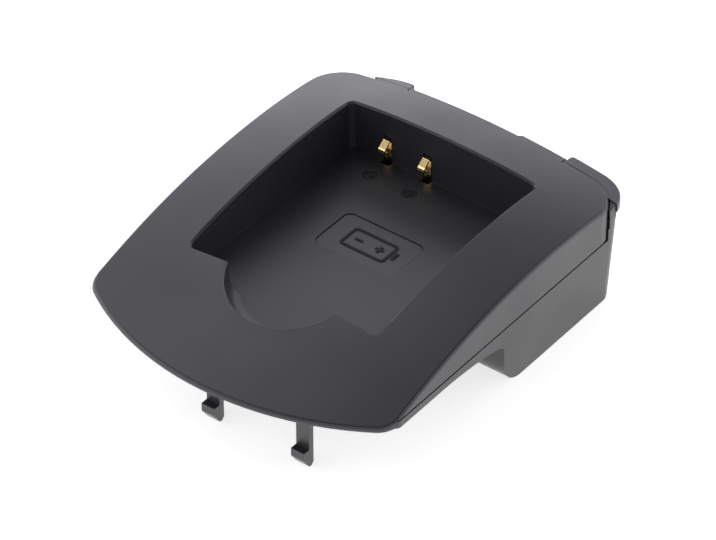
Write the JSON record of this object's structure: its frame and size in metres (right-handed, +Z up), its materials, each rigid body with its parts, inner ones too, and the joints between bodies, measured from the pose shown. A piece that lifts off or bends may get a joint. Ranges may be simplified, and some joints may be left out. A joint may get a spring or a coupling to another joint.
{
  "type": "camera battery charger plate",
  "caption": "Arched charging plate with a battery pocket, finger scoop and spring contacts, a rear box with base contacts, snap hooks under the nose and finger grips at the rear.",
  "frame": {"origin": "centre of the bounding box at the height of the box's underside", "axes": "+X across the plate, +Y from the nose to the finger grips, +Z up out of the battery pocket"},
  "size_m": [0.058, 0.072, 0.0207],
  "materials": {
    "cover_plastic": "black satin moulded plastic",
    "housing_plastic": "black satin moulded plastic",
    "contact_gilt": "gilt spring strip",
    "board_laminate": "green solder mask",
    "resistor_body": "black chip body",
    "screw_steel": "zinc-plated steel"
  },
  "bodies": {
    "root": {"top_cover": "cover_plastic", "lower_housing": "housing_plastic", "battery_contact_negative": "contact_gilt", "battery_contact_positive": "contact_gilt", "circuit_board": "board_laminate", "code_resistor_left": "resistor_body", "code_resistor_right": "resistor_body", "case_screws": "screw_steel", "base_contact_1": "contact_gilt", "base_contact_2": "contact_gilt", "base_contact_3": "contact_gilt", "base_contact_4": "contact_gilt"}
  },
  "joints": []
}
